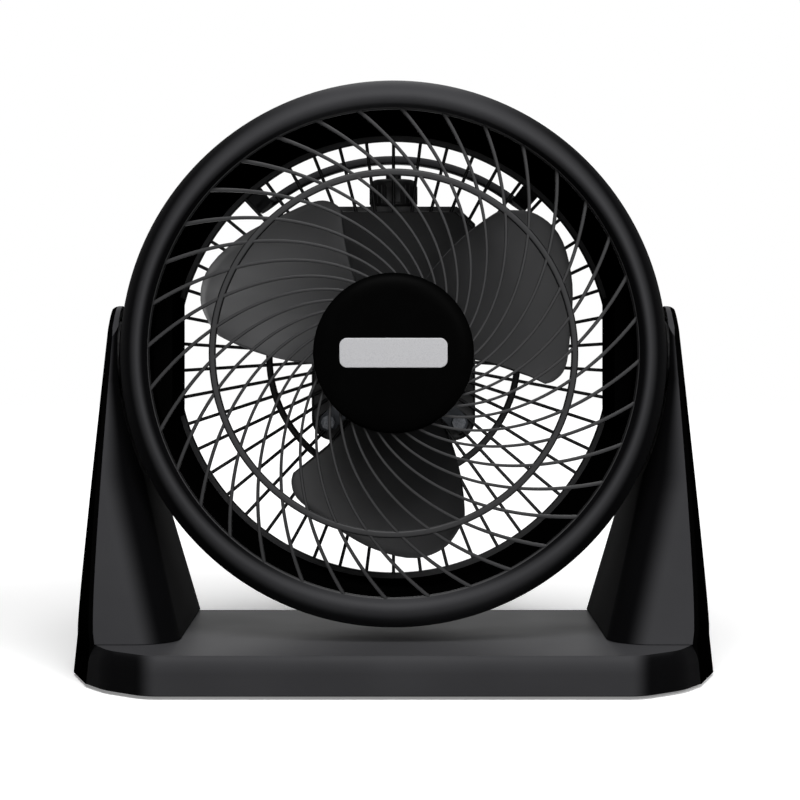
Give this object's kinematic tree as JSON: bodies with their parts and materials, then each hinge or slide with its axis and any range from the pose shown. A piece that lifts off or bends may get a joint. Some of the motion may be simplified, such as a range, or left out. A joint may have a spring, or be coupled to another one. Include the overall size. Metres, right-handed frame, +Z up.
{
  "type": "air circulator fan",
  "caption": "Ducted desk or floor fan: round head with spiral front grille, bladed impeller and motor, tilting between two arms of a flat stand.",
  "frame": {"origin": "on the ground under the centre of the stand", "axes": "+X to the right seen from the front, +Y to the rear, so the air leaves towards -Y, +Z up"},
  "size_m": [0.2798, 0.15, 0.2555],
  "materials": {
    "black_abs": "moulded ABS, satin black",
    "black_satin_abs": "moulded ABS, darker satin black",
    "cap_black": "polished moulded ABS, deep black",
    "silver_plate": "satin silver plate",
    "impeller_pp": "moulded polypropylene, dark grey",
    "rubber": "black rubber",
    "nylon": "natural nylon",
    "screw_steel": "zinc-plated steel",
    "motor_steel": "laminated and pressed steel",
    "copper": "enamelled copper wire",
    "bronze": "sintered bronze"
  },
  "bodies": {
    "stand": {"base_shell": "black_abs", "base_plate": "black_abs", "foot_front_left": "rubber", "foot_front_right": "rubber", "foot_rear_left": "rubber", "foot_rear_right": "rubber", "plate_screw_1": "screw_steel", "plate_screw_2": "screw_steel", "plate_screw_3": "screw_steel", "plate_screw_4": "screw_steel", "arm_screw_1": "screw_steel", "arm_screw_2": "screw_steel", "arm_screw_3": "screw_steel", "arm_screw_4": "screw_steel", "right_arm": "black_abs", "right_arm_cover": "black_satin_abs", "right_pivot_washer": "nylon", "left_arm": "black_abs", "left_arm_cover": "black_satin_abs", "left_pivot_washer": "nylon"},
    "head": {"housing": "black_abs", "duct": "black_satin_abs", "front_grille": "black_satin_abs", "nose_cap": "cap_black", "name_plate_blank": "silver_plate", "rear_grille": "black_satin_abs", "carrying_handle": "black_abs", "motor_cover": "black_abs", "rotary_switch": "nylon", "cord_gland": "rubber", "motor_front_bell": "motor_steel", "motor_rear_bell": "motor_steel", "stator_core": "motor_steel", "front_winding": "copper", "rear_winding": "copper", "front_bush": "bronze", "rear_bush": "bronze", "motor_screw_1": "screw_steel", "cover_screw_1": "screw_steel", "motor_screw_2": "screw_steel", "cover_screw_2": "screw_steel", "motor_screw_3": "screw_steel", "cover_screw_3": "screw_steel", "motor_screw_4": "screw_steel", "cover_screw_4": "screw_steel", "ring_screw_1": "screw_steel", "ring_screw_2": "screw_steel", "ring_screw_3": "screw_steel", "ring_screw_4": "screw_steel", "handle_screw_1": "screw_steel", "handle_screw_2": "screw_steel", "right_pivot_screw": "screw_steel", "left_pivot_screw": "screw_steel"},
    "rotor": {"impeller": "impeller_pp", "impeller_nut": "nylon", "motor_shaft": "screw_steel", "rotor_core": "motor_steel"},
    "knob": {"speed_knob": "black_satin_abs"}
  },
  "joints": [
    {"name": "tilt", "type": "hinge", "parent": "stand", "child": "head", "pos_m": [0, 0, 0.1382], "axis": [-1, 0, 0], "range_deg": [-2, 88]},
    {"name": "spin", "type": "hinge", "parent": "head", "child": "rotor", "pos_m": [0, 0, 0.1382], "axis": [0, -0.9993, 0.0384], "continuous": true},
    {"name": "knob_turn", "type": "hinge", "parent": "head", "child": "knob", "pos_m": [0, 0.06408, 0.21079], "axis": [0, 0.0384, 0.9993], "range_deg": [0, 135]}
  ]
}
